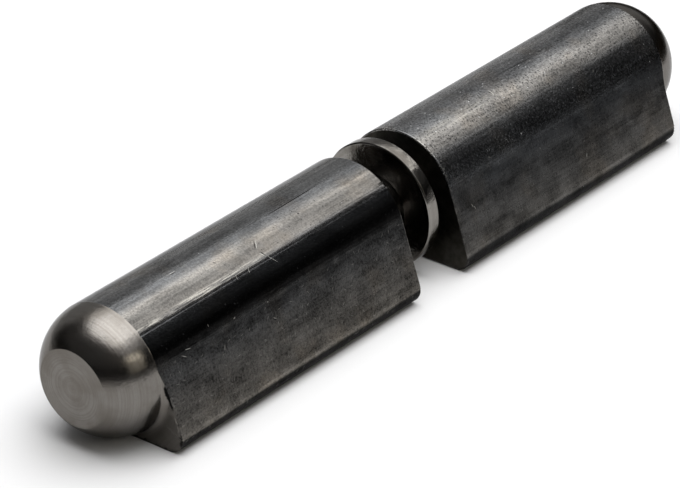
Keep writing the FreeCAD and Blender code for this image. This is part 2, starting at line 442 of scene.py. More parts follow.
class Painter(Wiring):
    """Lays out the nodes of one finish, which reads Object coordinates only, in millimetres."""

    def __init__(self, name: str) -> None:
        """Start a material with nothing but its output.

        Args:
            name: Name of the material.
        """
        self.material = bpy.data.materials.new(name)
        self.material.use_nodes = True
        super().__init__(self.material.node_tree)
        self.tree.nodes.clear()
        self.output = self.tree.nodes.new("ShaderNodeOutputMaterial")

    def coordinates(self, place: Sequence[float] = (0, 0, 0), turn: Sequence[float] = (0, 0, 0)) -> Socket:
        """Coordinates in millimetres.

        Args:
            place: Where they are measured from, in metres.
            turn: Turn of their axes.

        Returns:
            Socket with the coordinates.
        """
        return self.node("Mapping", {
            "Vector": self.node("TexCoord").outputs["Object"], "Location": place, "Rotation": turn,
            "Scale": (MM, MM, MM)}, vector_type="TEXTURE").outputs[0]

    def stretch(self, vector: Socket, scale: Sequence[float]) -> Socket:
        """Coordinates with each axis scaled."""
        return self.node("Mapping", {"Vector": vector, "Scale": scale}, vector_type="POINT").outputs[0]

    def inside(self, vector: Socket, place: Sequence[float], turn: Sequence[float],
               size: Sequence[float]) -> Socket:
        """How far out in a round or long spot a place lies.

        Args:
            vector: Coordinates of the place.
            place: Middle of the spot.
            turn: Turn of the spot.
            size: Half its size along each of its axes.

        Returns:
            Socket with 0 in the middle, 1 at the edge and more outside.
        """
        spot = self.node("Mapping", {"Vector": vector, "Location": place, "Rotation": turn, "Scale": size},
                         vector_type="TEXTURE").outputs[0]
        return self.node("VectorMath", {0: spot}, operation="LENGTH").outputs["Value"]

    def noise(self, vector: Socket, scale: float, detail: float = 3.0, rough: float = 0.55,
              shift: float = 0.0) -> Socket:
        """Cloudy pattern between 0 and 1, about 0.5.

        Args:
            vector: Coordinates.
            scale: Size of the pattern, in waves to a millimetre.
            detail: How many finer patterns lie in it.
            rough: How strong these are.
            shift: Slides it to another part of the same pattern.

        Returns:
            Socket with the pattern.
        """
        if shift:
            vector = self.node("VectorMath", {0: vector, 1: (shift, shift * 1.7, shift * 0.6)},
                               operation="ADD").outputs[0]
        return self.node("TexNoise", {"Vector": vector, "Scale": scale, "Detail": detail,
                                      "Roughness": rough}).outputs["Fac"]

    def swing(self, pattern: Socket, width: Value) -> Socket:
        """Turn a pattern about 0.5 into one about 0, of the given width."""
        return self.times(self.calc("SUBTRACT", pattern, 0.5), width)

    def blend(self, factor: Value, first: Paint, second: Paint, how: str = "MIX") -> Socket:
        """Mix two colours."""
        return self.node("Mix", {"Factor": factor, 6: first, 7: second}, data_type="RGBA",
                         blend_type=how).outputs[2]

    def between(self, factor: Socket, first: Value, second: Value) -> Socket:
        """Mix two numbers."""
        return self.node("Mix", {"Factor": factor, 2: first, 3: second}, data_type="FLOAT").outputs[0]

    def bump(self, height: Socket, depth: Value, below: Socket | None = None) -> Socket:
        """Bump the surface.

        Args:
            height: Height from 0 to 1.
            depth: What a height of 1 stands for, in metres.
            below: Normal that is bumped already, or None.

        Returns:
            Socket with the normal.
        """
        inputs = {"Height": height, "Distance": depth}
        if below is not None:
            inputs["Normal"] = below
        return self.node("Bump", inputs).outputs[0]

    def matt(self, colour: Colour) -> bpy.types.Material:
        """Finish as a matt surface of one colour."""
        return self.finish(self.node("BsdfDiffuse", {"Color": colour}))

    def metal(self, colour: Socket, roughness: Socket, normal: Socket,
              edge: float = 1.0) -> bpy.types.Material:
        """Finish as bare metal.

        Args:
            colour: The metal's colour.
            roughness: Its roughness.
            normal: Its bumped normal.
            edge: How bright it is where it is seen edge on, with 1 for clean metal.

        Returns:
            The material.
        """
        return self.finish(self.node("BsdfPrincipled", {
            "Base Color": colour, "Roughness": roughness, "Normal": normal, "Metallic": 1.0,
            "Specular Tint": (edge, edge, edge)}))

    def finish(self, shader: bpy.types.Node) -> bpy.types.Material:
        """Link the shader to the output and hand over the material."""
        self.tree.links.new(shader.outputs[0], self.output.inputs["Surface"])
        return self.material


class BarPainter(Painter):
    """Painter for the drawn skin of a leaf, with coordinates that lie on the skin.

    They are the distance along the axis, and the distance round the section from the line opposite the tang,
    which is above 0 on the side that faces up and forwards. All are in millimetres.
    """

    def __init__(self, name: str, place: LeafPlace) -> None:
        """Lay out the coordinates.

        Args:
            name: Name of the material.
            place: Which leaf it is for.
        """
        super().__init__(name)
        end = (place.side * SAWN_END_X, AXIS_Y, AXIS_Z)
        _, away, across = self.apart(self.coordinates(end, place.turn))
        self.x = self.apart(self.coordinates())[0]
        depth = self.calc("ABSOLUTE", across)
        angle = self.calc("MINIMUM", self.calc("ARCTAN2", depth, away), SEAM)
        down = self.plus(self.times(away, -math.sin(SEAM)), self.times(depth, math.cos(SEAM)))
        length = self.plus(self.times(angle, BARREL_RADIUS / MM), self.calc("MAXIMUM", down, 0.0))
        around = self.times(length, self.times(self.calc("SIGN", across), -place.side))
        self.skin = self.node("CombineXYZ", {0: self.x, 1: around, 2: 0.0}).outputs[0]
        self.side = self.calc("ABSOLUTE", around)
        self.on_flank = self.ramp(self.side, 17.0, 18.2)

    def clouds(self, scale: float, detail: float, rough: float, shift: float) -> Socket:
        """Cloudy pattern on the skin."""
        return self.noise(self.skin, scale, detail, rough, shift)

    def streak(self, along: float, across: float, shift: float) -> Socket:
        """Cloudy pattern drawn out along the bar."""
        return self.noise(self.stretch(self.skin, (along, across, 1.0)), 1.0, 3.0, 0.6, shift)

    def cells(self, per_mm: float) -> bpy.types.Node:
        """Scattered points, with the place and the random colour of the nearest one."""
        return self.node("TexVoronoi", {"Vector": self.skin, "Scale": per_mm, "Randomness": 1.0},
                         feature="F1", voronoi_dimensions="2D")

    def dashes(self, per_mm: float, length: float, width: float, share: float) -> Socket:
        """Short scratches in all directions, scattered at random.

        Args:
            per_mm: Cells to a millimetre. One cell has one scratch at most.
            length: Half the length of a scratch.
            width: Half its width.
            share: Share of the cells that have one.

        Returns:
            Socket with 1 on a scratch and 0 elsewhere.
        """
        found = self.cells(per_mm)
        turn, pick_it, _ = self.apart(found.outputs["Color"])
        away = self.node("VectorMath", {0: self.skin, 1: found.outputs["Position"]},
                         operation="SUBTRACT").outputs[0]
        turned = self.node("VectorRotate", {"Vector": away, "Angle": self.times(turn, math.pi)},
                           rotation_type="Z_AXIS").outputs[0]
        along = self.node("VectorMath", {0: turned, 1: (1 / length, 1 / width, 0.0)},
                          operation="MULTIPLY").outputs[0]
        reach = self.node("VectorMath", {0: along}, operation="LENGTH").outputs["Value"]
        return self.times(self.ramp(reach, 1.0, 0.5), self.calc("LESS_THAN", pick_it, share))

    def reach(self, mark: Mark) -> Socket:
        """How far out in one mark a place lies.

        Args:
            mark: The mark.

        Returns:
            Socket with 0 in the middle of the mark and 1 at its edge.
        """
        (x0, s0), (x1, s1) = mark.start, mark.end
        length = math.hypot(x1 - x0, s1 - s0) / 2 + mark.width
        return self.inside(self.skin, ((x0 + x1) / 2, (s0 + s1) / 2, 0.0),
                           (0.0, 0.0, math.atan2(s1 - s0, x1 - x0)), (length, mark.width, 1.0))

    def marked(self, marks: Sequence[Mark]) -> Socket:
        """Socket with 1 in any of the marks and 0 elsewhere."""
        nearest = reduce(lambda so_far, mark: self.calc("MINIMUM", so_far, self.reach(mark)), marks, 9.0)
        return self.ramp(nearest, 1.0, 0.4)


@dataclass(frozen=True)
class DrawnSteel:
    """Cold drawn bar: dark, with stains and die lines along it, fine pits and scratches, and painted light.

    The painted light round the section is a row of stops: painted reflections and shade, each a distance
    from the line opposite the tang, a level and a warmth. A painted highlight band runs along the barrel,
    with a share that says how strongly it shows, and a painted highlight lies on the edge of the sawn end.
    The pits say how pitted it is, from 0 to 1, and the gloss is the roughness of its barrel.
    """

    name: str
    place: LeafPlace
    bright_marks: tuple[Mark, ...]
    dark_marks: tuple[Mark, ...]
    highlight_band: Mark
    highlight_band_share: float
    painted_light_tones: tuple[Tone, ...]
    pits: float
    gloss: float
    pit_colour: Colour = (0.012, 0.012, 0.013)
    glint_colour: Colour = (0.5, 0.5, 0.5)
    highlight_band_colour: Colour = (0.36, 0.345, 0.31)
    edge_highlight_colour: Colour = (0.3, 0.29, 0.27)
    dark_colour: Colour = (0.01, 0.01, 0.01)
    bright_colour: Colour = (0.42, 0.41, 0.38)

    def painted_reflections(self, p: BarPainter) -> Socket:
        """Painted reflections and shade: colour that follows the stops round the section, their borders wavy
        and ragged at the seam.

        Args:
            p: The painter.

        Returns:
            Socket with the colour.
        """
        wave = p.swing(p.streak(0.03, 0.35, 3.0), 1.2)
        at_seam = p.times(p.ramp(p.side, 14.5, 17.5), p.ramp(p.side, 21.0, 18.5))
        ragged = p.times(p.swing(p.clouds(0.55, 4.0, 0.65, 37.0), 4.5 - 3.0 * self.pits), at_seam)
        low, high = self.painted_light_tones[0][0], self.painted_light_tones[-1][0]
        stops = [((place - low) / (high - low),
                  (level, level * (1.0 - 0.42 * warmth), level * (1.0 - warmth)))
                 for place, level, warmth in self.painted_light_tones]
        return p.levels(p.ramp(p.plus(p.side, p.plus(wave, ragged)), low, high, linear=True), stops)

    def mottled(self, p: BarPainter, colour: Socket, streak: Socket, fine: Socket, speck: Socket) -> Socket:
        """Colour that varies from place to place in brightness and warmth.

        Args:
            p: The painter.
            colour: The colour so far.
            streak: Broad lines along the bar.
            fine: Fine lines along the bar.
            speck: Specks.

        Returns:
            Socket with the colour.
        """
        across = p.noise(p.stretch(p.skin, (4.0, 0.8, 1.0)), 1.0, 2.0, 0.6, 31.0)
        spread = p.between(p.on_flank, 0.5 + 0.2 * self.pits, 0.75 - 0.4 * self.pits)
        vary = p.plus(
            p.ramp(streak, 0.3, 0.7, -0.14, 0.14),
            p.ramp(fine, 0.3, 0.7, -0.1, 0.1),
            p.ramp(p.streak(0.16, 0.45, 23.0), 0.34, 0.66, -0.24, 0.2),
            p.times(p.ramp(across, 0.35, 0.65, -0.1, 0.1), p.on_flank),
            p.times(p.ramp(p.clouds(0.3, 4.0, 0.6, 51.0), 0.36, 0.64, -0.22, 0.25), p.on_flank),
            p.times(p.ramp(speck, 0.35, 0.65, -0.5, 0.5), spread))
        level = p.calc("MAXIMUM", p.plus(1.0, vary), 0.2)
        colour = p.node("VectorMath", {0: colour, "Scale": level}, operation="SCALE").outputs[0]
        warm = p.ramp(p.clouds(0.2, 3.0, 0.5, 61.0), 0.5, 0.68, 0.0, 0.35)
        return p.blend(warm, colour, p.blend(1.0, colour, (1.12, 1.0, 0.86), "MULTIPLY"))

    def pitted(self, p: BarPainter, colour: Socket) -> tuple[Socket, Socket, Socket]:
        """Colour with dark pits, a few of which glint.

        Args:
            p: The painter.
            colour: The colour so far.

        Returns:
            Sockets with the colour, with 1 in a pit, and with 1 in a pit that glints.
        """
        found = p.cells(2.3)
        chance, wide, shine = p.apart(found.outputs["Color"])
        crowd = p.ramp(p.clouds(0.16, 3.0, 0.6, 41.0), 0.35, 0.6, 0.02 + 0.3 * self.pits, 0.95 * self.pits)
        there = p.calc("LESS_THAN", chance, p.times(crowd, p.ramp(p.side, 12.5, 18.0, 1.0, 0.45)))
        size = p.ramp(wide, 0.0, 1.0, 0.1, 0.15 + 0.17 * self.pits, linear=True)
        near = p.calc("SUBTRACT", 1.0, p.calc("DIVIDE", found.outputs["Distance"], size))
        pit = p.times(p.ramp(near, 0.0, 0.5), there)
        glint = p.times(pit, p.calc("GREATER_THAN", shine, p.ramp(p.side, 11.5, 13.0, 0.95, 0.985)))
        colour = p.blend(p.times(pit, p.between(p.on_flank, 0.85, 0.4)), colour, self.pit_colour)
        colour = p.blend(p.times(glint, p.between(p.on_flank, 0.9, 0.2)), colour, self.glint_colour)
        return colour, pit, glint

    def painted_highlights(self, p: BarPainter, colour: Socket) -> Socket:
        """Colour with painted highlights: a bright band along the barrel and a bright line on the edge of the
        sawn end.

        Args:
            p: The painter.
            colour: The colour so far.

        Returns:
            Socket with the colour.
        """
        # Painted highlight: a bright band along the barrel
        highlight_band = p.times(p.ramp(p.reach(self.highlight_band), 1.0, 0.25),
                         p.ramp(p.streak(0.35, 5.0, 71.0), 0.4, 0.6))
        colour = p.blend(p.times(highlight_band, self.highlight_band_share), colour, self.highlight_band_colour)
        # Painted highlight: a bright line along the edge of the sawn end
        from_end = p.calc("SUBTRACT", p.calc("ABSOLUTE", p.x), SAWN_END_X / MM)
        edge = p.times(p.ramp(from_end, 0.24, 0.1), p.ramp(p.clouds(0.9, 3.0, 0.7, 83.0), 0.42, 0.6))
        return p.blend(p.times(edge, 0.8 - 0.6 * self.pits), colour, self.edge_highlight_colour)

    def scratched(self, p: BarPainter, colour: Socket) -> tuple[Socket, Socket]:
        """Colour with the listed marks, and short random ones that are mostly on the flanks.

        Args:
            p: The painter.
            colour: The colour so far.

        Returns:
            Sockets with the colour, and with 1 on a bright mark.
        """
        few = p.between(p.on_flank, 0.22, 1.0 - 0.6 * self.pits)
        bright = p.calc("MAXIMUM", p.marked(self.bright_marks),
                        p.times(p.dashes(0.9, 0.28, 0.035, 0.4), few, 0.5))
        dark = p.calc("MAXIMUM", p.marked(self.dark_marks),
                      p.times(p.dashes(1.3, 0.2, 0.05, 0.45), few, 0.6))
        colour = p.blend(dark, colour, self.dark_colour)
        return p.blend(p.times(bright, 0.8), colour, self.bright_colour), bright

    def make(self) -> bpy.types.Material:
        """Build the material.

        Returns:
            The material.
        """
        p = BarPainter(self.name, self.place)
        streak = p.streak(0.03, 2.2, 11.0)
        fine = p.streak(0.1, 7.0, 17.0)
        speck = p.clouds(3.6, 4.0, 0.8, 5.0)
        colour = self.mottled(p, self.painted_reflections(p), streak, fine, speck)
        colour, pit, glint = self.pitted(p, colour)
        colour, bright = self.scratched(p, self.painted_highlights(p, colour))
        rough = p.between(p.ramp(speck, 0.3, 0.7), self.gloss - 0.02, self.gloss + 0.05)
        rough = p.between(p.on_flank, rough, p.ramp(speck, 0.3, 0.7, 0.24, 0.38))
        rough = p.between(p.calc("MAXIMUM", bright, glint), rough, 0.45)
        normal = p.bump(p.plus(p.times(fine, 0.4), streak), 0.012 * MM)
        normal = p.bump(speck, p.between(p.on_flank, (0.006 + 0.01 * self.pits) * MM, 0.03 * MM), normal)
        normal = p.bump(p.clouds(7.0, 2.0, 0.6, 9.0), p.between(p.on_flank, 0.003 * MM, 0.005 * MM), normal)
        normal = p.bump(p.calc("SUBTRACT", 1.0, pit), 0.03 * MM, normal)
        return p.metal(colour, rough, normal, 0.5)


LOWER_SKIN = DrawnSteel(
    "drawn_steel_lower", LeafPlace.LOWER,
    bright_marks=(
        Mark((-25.6, 10.5), (-26.6, 11.7), 0.05),
        Mark((-26.7, 12.2), (-26.2, 12.8), 0.08),
        Mark((-26.1, 12.8), (-25.1, 14.4), 0.05),
        Mark((-29.4, 12.9), (-29.7, 13.6), 0.05),
        Mark((-31.6, 12.8), (-31.7, 13.6), 0.05),
        Mark((-38.4, 8.5), (-37.2, 8.6), 0.06),
        Mark((-37.3, 19.2), (-37.5, 19.8), 0.06),
        Mark((-29.0, 19.5), (-28.5, 19.8), 0.05),
        Mark((-43.3, 17.2), (-42.3, 17.4), 0.06),
        Mark((-44.0, 17.6), (-43.2, 18.1), 0.05),
        Mark((-38.8, 16.0), (-38.8, 16.4), 0.06),
        Mark((-34.9, 17.1), (-34.6, 17.0), 0.07),
        Mark((-29.2, 17.5), (-29.1, 17.5), 0.06)),
    dark_marks=(
        Mark((-25.8, 10.4), (-26.8, 11.6), 0.07),
        Mark((-26.5, 12.0), (-26.1, 12.9), 0.09),
        Mark((-17.9, 10.4), (-17.8, 10.4), 0.13),
        Mark((-14.5, 10.0), (-14.5, 10.1), 0.08),
        Mark((-38.4, 8.65), (-37.2, 8.75), 0.06),
        Mark((-32.7, 10.3), (-32.4, 10.5), 0.09),
        Mark((-37.5, 19.8), (-37.8, 20.3), 0.08),
        Mark((-29.0, 19.7), (-28.5, 20.0), 0.08),
        Mark((-44.6, 17.3), (-44.2, 17.8), 0.07),
        Mark((-42.8, 18.0), (-42.3, 18.6), 0.07),
        Mark((-42.1, 18.7), (-41.7, 19.2), 0.06),
        Mark((-44.4, 18.0), (-43.5, 18.7), 0.05),
        Mark((-26.8, 24.0), (-26.7, 24.5), 0.05),
        Mark((-26.7, 22.8), (-26.7, 23.3), 0.05),
        Mark((-23.0, 8.4), (-10.3, 8.2), 0.1)),
    # Painted highlight: a bright band along the barrel from the nose towards the middle
    highlight_band=Mark((-56.0, 12.75), (-20.0, 12.75), 0.55),
    highlight_band_share=0.75,
    # Painted reflections and shade round the section, from the back of the barrel to under the tip
    painted_light_tones=(
        (0.0, 0.064, -0.03), (2.6, 0.09, -0.02), (4.0, 0.165, -0.01), (4.75, 0.24, 0.01), (5.45, 0.39, 0.02),
        (6.15, 0.28, 0.0), (8.9, 0.112, -0.05), (9.6, 0.108, 0.02), (10.3, 0.158, 0.12), (11.0, 0.1, 0.1),
        (11.7, 0.084, 0.11), (12.3, 0.12, 0.12), (12.65, 0.118, 0.09), (12.95, 0.08, 0.02),
        (13.8, 0.09, -0.09), (16.6, 0.05, 0.02), (17.3, 0.026, 0.0), (17.8, 0.026, -0.02), (19.2, 0.05, 0.0),
        (25.8, 0.092, 0.16), (26.1, 0.125, 0.17), (26.3, 0.12, 0.17), (26.55, 0.02, 0.05), (28.0, 0.01, 0.0)),
    pits=0.06,
    gloss=0.13)

UPPER_SKIN = DrawnSteel(
    "drawn_steel_upper", LeafPlace.UPPER,
    bright_marks=(
        Mark((19.9, 8.9), (19.7, 10.5), 0.06),
        Mark((20.3, 9.4), (20.4, 9.8), 0.06),
        Mark((21.6, 11.4), (21.7, 11.5), 0.09),
        Mark((22.5, 11.8), (22.6, 11.8), 0.08),
        Mark((12.4, 16.4), (12.9, 16.6), 0.05),
        Mark((35.8, 13.9), (35.6, 14.2), 0.06),
        Mark((29.9, 22.8), (29.7, 23.3), 0.07),
        Mark((5.1, 13.9), (5.2, 13.9), 0.08),
        Mark((4.9, 14.8), (4.9, 14.9), 0.07),
        Mark((7.4, 20.4), (7.7, 21.0), 0.05),
        Mark((7.8, 20.8), (8.0, 21.4), 0.05)),
    dark_marks=(Mark((21.8, 7.5), (31.8, 8.1), 0.09),),
    # Painted highlight: a bright band along the barrel from the sawn end towards the middle
    highlight_band=Mark((0.0, 10.4), (24.0, 10.0), 1.1),
    highlight_band_share=0.35,
    # Painted reflections and shade round the section, from the back of the barrel to under the tip
    painted_light_tones=(
        (0.0, 0.09, -0.03), (2.6, 0.13, -0.02), (4.75, 0.33, 0.0), (5.45, 0.36, 0.0), (6.15, 0.25, -0.01),
        (7.5, 0.138, -0.04), (8.9, 0.133, -0.04), (10.6, 0.2, 0.09), (12.3, 0.123, 0.09),
        (12.95, 0.148, 0.02), (13.4, 0.105, -0.02), (15.6, 0.13, -0.07), (17.6, 0.032, -0.09),
        (18.2, 0.034, -0.09),
        (24.0, 0.068, 0.07), (25.6, 0.082, 0.11), (26.1, 0.1, 0.1), (26.5, 0.02, 0.0), (28.0, 0.012, 0.0)),
    pits=1.0,
    gloss=0.25)


@dataclass(frozen=True)
class TurnedSteel:
    """Steel fresh from the cutter: satin, with fine rings round the hinge axis and a warm haze.

    The waves and the grain are depths in millimetres. The middle of the painted shade in the corner beside
    the tang, a black patch, is given in millimetres, or None.
    """

    name: str
    colour: Colour = (0.178, 0.168, 0.156)
    stain: Colour = (0.14, 0.129, 0.116)
    gloss: float = 0.19
    waves: float = 0.03
    grain: float = 0.003
    corner_shade_centre: tuple[float, float, float] | None = None
    ring_colour: Colour = (0.11, 0.098, 0.085)
    grain_colour: Colour = (0.1, 0.09, 0.08)
    outer_colour: Colour = (0.05, 0.046, 0.04)
    fringe_colour: Colour = (0.006, 0.006, 0.006)
    corner_shade_colour: Colour = (0.004, 0.004, 0.004)

    def corner_shade_mask(self, p: Painter) -> Socket:
        """Socket with 1 in the painted shade in the corner beside the tang and 0 elsewhere.

        Args:
            p: The painter.

        Returns:
            The socket.
        """
        reach = p.inside(p.coordinates(), self.corner_shade_centre, (math.radians(-18.0), 0.0, 0.0), (0.34, 0.34, 1.75))
        ragged = p.swing(p.noise(p.coordinates(), 2.6, 3.0, 0.6, 13.0), 0.8)
        return p.ramp(p.plus(reach, ragged), 1.1, 0.75)

    def fringe(self, p: Painter, about: Socket, radius: Socket) -> Socket:
        """Socket with 1 in the ragged dark fringe along the tip and the lower edge of the tang's end.

        Args:
            p: The painter.
            about: Coordinates about the hinge axis.
            radius: Distance from the hinge axis.

        Returns:
            The socket.
        """
        _, tang, low = p.apart(p.coordinates())
        edge = p.calc("MINIMUM", low, p.plus(tang, 9.13))
        ragged = p.ramp(p.noise(about, 2.2, 3.0, 0.7, 29.0), 0.3, 0.7, -0.25, 0.3)
        return p.times(p.ramp(p.plus(edge, ragged), 0.44, 0.2), p.ramp(radius, 8.05, 8.5))

    def make(self) -> bpy.types.Material:
        """Build the material.

        Returns:
            The material.
        """
        p = Painter(self.name)
        about = p.coordinates(AXIS)
        x, y, z = p.apart(about)
        radius = p.calc("SQRT", p.plus(p.times(y, y), p.times(z, z)))
        rings = p.noise(p.node("CombineXYZ", {0: x, 1: radius, 2: 0.0}).outputs[0], 4.6, 3.0, 0.75)
        patch = p.noise(about, 0.3, 3.0, 0.5, 7.0)
        grain = p.noise(about, 5.0, 3.0, 0.7, 3.0)
        colour = p.blend(p.ramp(patch, 0.4, 0.66), self.colour, self.stain)
        colour = p.blend(p.ramp(rings, 0.36, 0.64, 0.0, 0.42), colour, self.ring_colour)
        colour = p.blend(p.ramp(grain, 0.56, 0.7, 0.0, 0.35), colour, self.grain_colour)
        colour = p.blend(p.ramp(radius, 8.6, 9.3, 0.0, 0.5), colour, self.outer_colour)
        colour = p.blend(p.times(self.fringe(p, about, radius), 0.9), colour, self.fringe_colour)
        # Painted shade: a black patch in the corner where the nose meets the tang's end
        if self.corner_shade_centre:
            colour = p.blend(self.corner_shade_mask(p), colour, self.corner_shade_colour)
        rough = p.plus(p.ramp(grain, 0.3, 0.7, self.gloss - 0.03, self.gloss + 0.05),
                       p.ramp(patch, 0.3, 0.7, -0.01, 0.03))
        normal = p.bump(rings, 0.007 * MM)
        normal = p.bump(grain, self.grain * MM, normal)
        normal = p.bump(p.noise(about, 0.8, 3.0, 0.6, 19.0), self.waves * MM, normal)
        return p.metal(colour, rough, normal, 0.7)


@dataclass(frozen=True)
class SawnSteel:
    """Saw cut: dark, as painted shade between the leaves, with straight fine saw lines across the bar,
    at an angle in degrees.
    """

    name: str
    # Painted shade: the dark colour stands in for the shade in the gap between the leaves
    colour: Colour = (0.042, 0.039, 0.033)
    stain: Colour = (0.02, 0.018, 0.014)
    angle: float = 24.0

    def make(self) -> bpy.types.Material:
        """Build the material.

        Returns:
            The material.
        """
        p = Painter(self.name)
        about = p.coordinates(AXIS, (math.radians(self.angle), 0.0, 0.0))
        lines = p.noise(p.stretch(about, (1.0, 0.25, 7.0)), 1.0, 3.0, 0.6)
        patch = p.noise(about, 0.6, 4.0, 0.6, 3.0)
        colour = p.blend(p.ramp(patch, 0.35, 0.65), self.colour, self.stain)
        return p.metal(colour, p.ramp(lines, 0.3, 0.7, 0.28, 0.42), p.bump(lines, 0.02 * MM))


@dataclass(frozen=True)
class MattFinish:
    """Matt surface of one colour."""

    name: str
    colour: Colour

    def make(self) -> bpy.types.Material:
        """Build the material."""
        return Painter(self.name).matt(self.colour)


@dataclass
class Leaf:
    """One leaf: a length of drawn drop-shaped bar, its nose turned, its other end sawn and drilled.

    It is drawn with the middle of its sawn end at the origin, its nose towards -X and its tang towards -Y.
    Each die line is an angle round the barrel and half a width, in degrees, and a share of the full depth.
    """

    barrel_radius: float = BARREL_RADIUS
    tip_radius: float = TIP_RADIUS
    length: float = 49.1 * MM
    nose_arc: float = 7.7 * MM
    nose_flat: float = 4.8 * MM
    nose_rim_round: float = 0.09 * MM
    tool_corner: float = 0.8 * MM
    end_break: float = 0.2 * MM
    bore_radius: float = 4.05 * MM
    bore_depth: float = 32.2 * MM
    bore_mouth: float = 0.5 * MM
    drill_point: float = 118.0
    sides: int = 480
    bar_steps: int = 50
    flank_cuts: int = 15
    tip_steps: int = 27
    nose_steps: int = 48
    corner_steps: int = 16
    rim_steps: int = 4
    cutter_sides: int = 240
    drill_sides: int = 96
    spare: float = 1.4 * MM
    die_depth: float = 0.015 * MM
    die_lines: tuple[tuple[float, float, float], ...] = ((95.25, 1.3, 1.0), (89.25, 0.8, 0.4))
    unevenness: float = 0.012 * MM
    unevenness_size: float = 4.0 * MM
    tear: float = 0.24 * MM
    tear_size: float = 0.5 * MM
    smooth_below: float = 12.0

    @property
    def tip_y(self) -> float:
        """Place of the tang tip's centre."""
        return -(self.barrel_radius - self.tip_radius) / math.sin(math.radians(HALF_ANGLE))

    @property
    def tang_x(self) -> float:
        """Place of the squared end of the tang."""
        rise = self.nose_flat - (self.barrel_radius - self.nose_arc)
        return math.sqrt(self.nose_arc ** 2 - rise ** 2) - self.length

    def draw_bar(self) -> bpy.types.Object:
        """Draw the bar: the barrel's arc, two flanks and a blunt tip, pulled out along -X.

        Returns:
            The bar, a little longer than the leaf.
        """
        lay_down_tools()
        bpy.ops.mesh.primitive_circle_add(
            vertices=self.sides, radius=self.barrel_radius, fill_type="NOTHING",
            rotation=(0, math.pi / 2, 0))
        bar = bpy.context.object
        bar.name = bar.data.name = "leaf"
        fix_place(bar)
        bpy.ops.object.mode_set(mode="EDIT")
        seam_y = self.barrel_radius * math.cos(SEAM)
        seam_z = self.barrel_radius * math.sin(SEAM)
        pick(bar, "verts", lambda v: v.co.y < seam_y - SAME)
        bpy.ops.mesh.delete(type="VERT")
        tip = Vector((0.0, self.tip_y + self.tip_radius * math.cos(SEAM), self.tip_radius * math.sin(SEAM)))
        pick(bar, "verts", lambda v: v.co.y < seam_y + SAME and v.co.z > 0)
        bpy.ops.mesh.extrude_region_move(
            TRANSFORM_OT_translate={"value": tip - Vector((0.0, seam_y, seam_z))})
        sweep = math.radians(180.0 - 2 * HALF_ANGLE)
        bpy.ops.mesh.spin(steps=self.tip_steps, angle=sweep, center=(0, self.tip_y, 0), axis=(-1, 0, 0))
        pick(bar, "verts", lambda v: len(v.link_edges) == 1)
        bpy.ops.mesh.edge_face_add()
        pick(bar, "edges", lambda e: e.calc_length() > self.tip_radius)
        bpy.ops.mesh.subdivide(number_cuts=self.flank_cuts)
        bpy.ops.mesh.select_all(action="SELECT")
        bpy.ops.mesh.remove_doubles(threshold=SAME)
        bpy.ops.mesh.select_all(action="SELECT")
        bpy.ops.mesh.edge_face_add()
        step = -(self.length + self.spare) / self.bar_steps
        for _ in range(self.bar_steps):
            bpy.ops.mesh.extrude_region_move(TRANSFORM_OT_translate={"value": (step, 0, 0)})
        bpy.ops.mesh.select_all(action="SELECT")
        bpy.ops.mesh.normals_make_consistent(inside=False)
        bpy.ops.object.mode_set(mode="OBJECT")
        return bar

    def mark_die_line(self, bar: bpy.types.Object) -> None:
        """Press the die's lines into the barrel. They fade towards the sawn end.

        Args:
            bar: The bar.
        """
        def weigh(vertex: bpy.types.MeshVertex) -> float:
            """Give the lines' depth at a vertex.

            Args:
                vertex: The vertex.

            Returns:
                The share of the full depth.
            """
            point = vertex.co
            if point.yz.length < 0.99 * self.barrel_radius:
                return 0.0
            along = min(1.0, max(0.0, -point.x / self.length))
            angle = math.degrees(math.atan2(point.z, point.y))
            depth = sum(share * max(0.0, 1.0 - abs(angle - middle) / width)
                        for middle, width, share in self.die_lines)
            return depth * (0.2 + 0.8 * along ** 2)

        Unevenness("die_lines", -self.die_depth).work_in(bar, weigh)

    def roughen(self, bar: bpy.types.Object) -> None:
        """Give the bar the slight unevenness of drawn stock, always inwards, and none at its sawn end."""
        Unevenness("drawn_unevenness", self.unevenness, 1.0, self.unevenness_size).work_in(
            bar, lambda vertex: min(1.0, max(0.0, -vertex.co.x / MM - 0.5)))

    def break_end(self, bar: bpy.types.Object) -> None:
        """Round the edge of the sawn end.

        Args:
            bar: The bar.
        """
        take(bar)
        bpy.ops.object.mode_set(mode="EDIT")
        pick(bar, "edges", lambda e: (
            all(abs(v.co.x) < SAME_X for v in e.verts) and e.calc_face_angle(0.0) > 1.0))
        bpy.ops.mesh.bevel(
            offset=self.end_break, offset_type="OFFSET", segments=3, profile=0.5, affect="EDGES")
        bpy.ops.object.mode_set(mode="OBJECT")

    def nose_outline(self) -> list[Point]:
        """Outline that the cutter leaves: flat, nose arc, tool corner, tang end, and out past the sawn end.

        Returns:
            The outline.
        """
        x = self.tang_x
        centre = self.barrel_radius - self.nose_arc
        rim = math.degrees(math.atan2(self.nose_flat - centre, -self.length - x))
        touch = math.degrees(math.acos(-self.tool_corner / (self.nose_arc + self.tool_corner)))
        nose = arc(x, centre, self.nose_arc, rim, touch, self.nose_steps)
        tool_centre = centre + math.sqrt((self.nose_arc + self.tool_corner) ** 2 - self.tool_corner ** 2)
        corner = arc(x - self.tool_corner, tool_centre, self.tool_corner, touch - 180.0, 0.0,
                     self.corner_steps)
        round_rim = soften((-self.length, 0.0), nose[0], nose[1], self.nose_rim_round, self.rim_steps)
        reach = 2.2 * self.barrel_radius
        return [*round_rim, *nose[1:], *corner[1:], (x, reach), (MM, reach)]

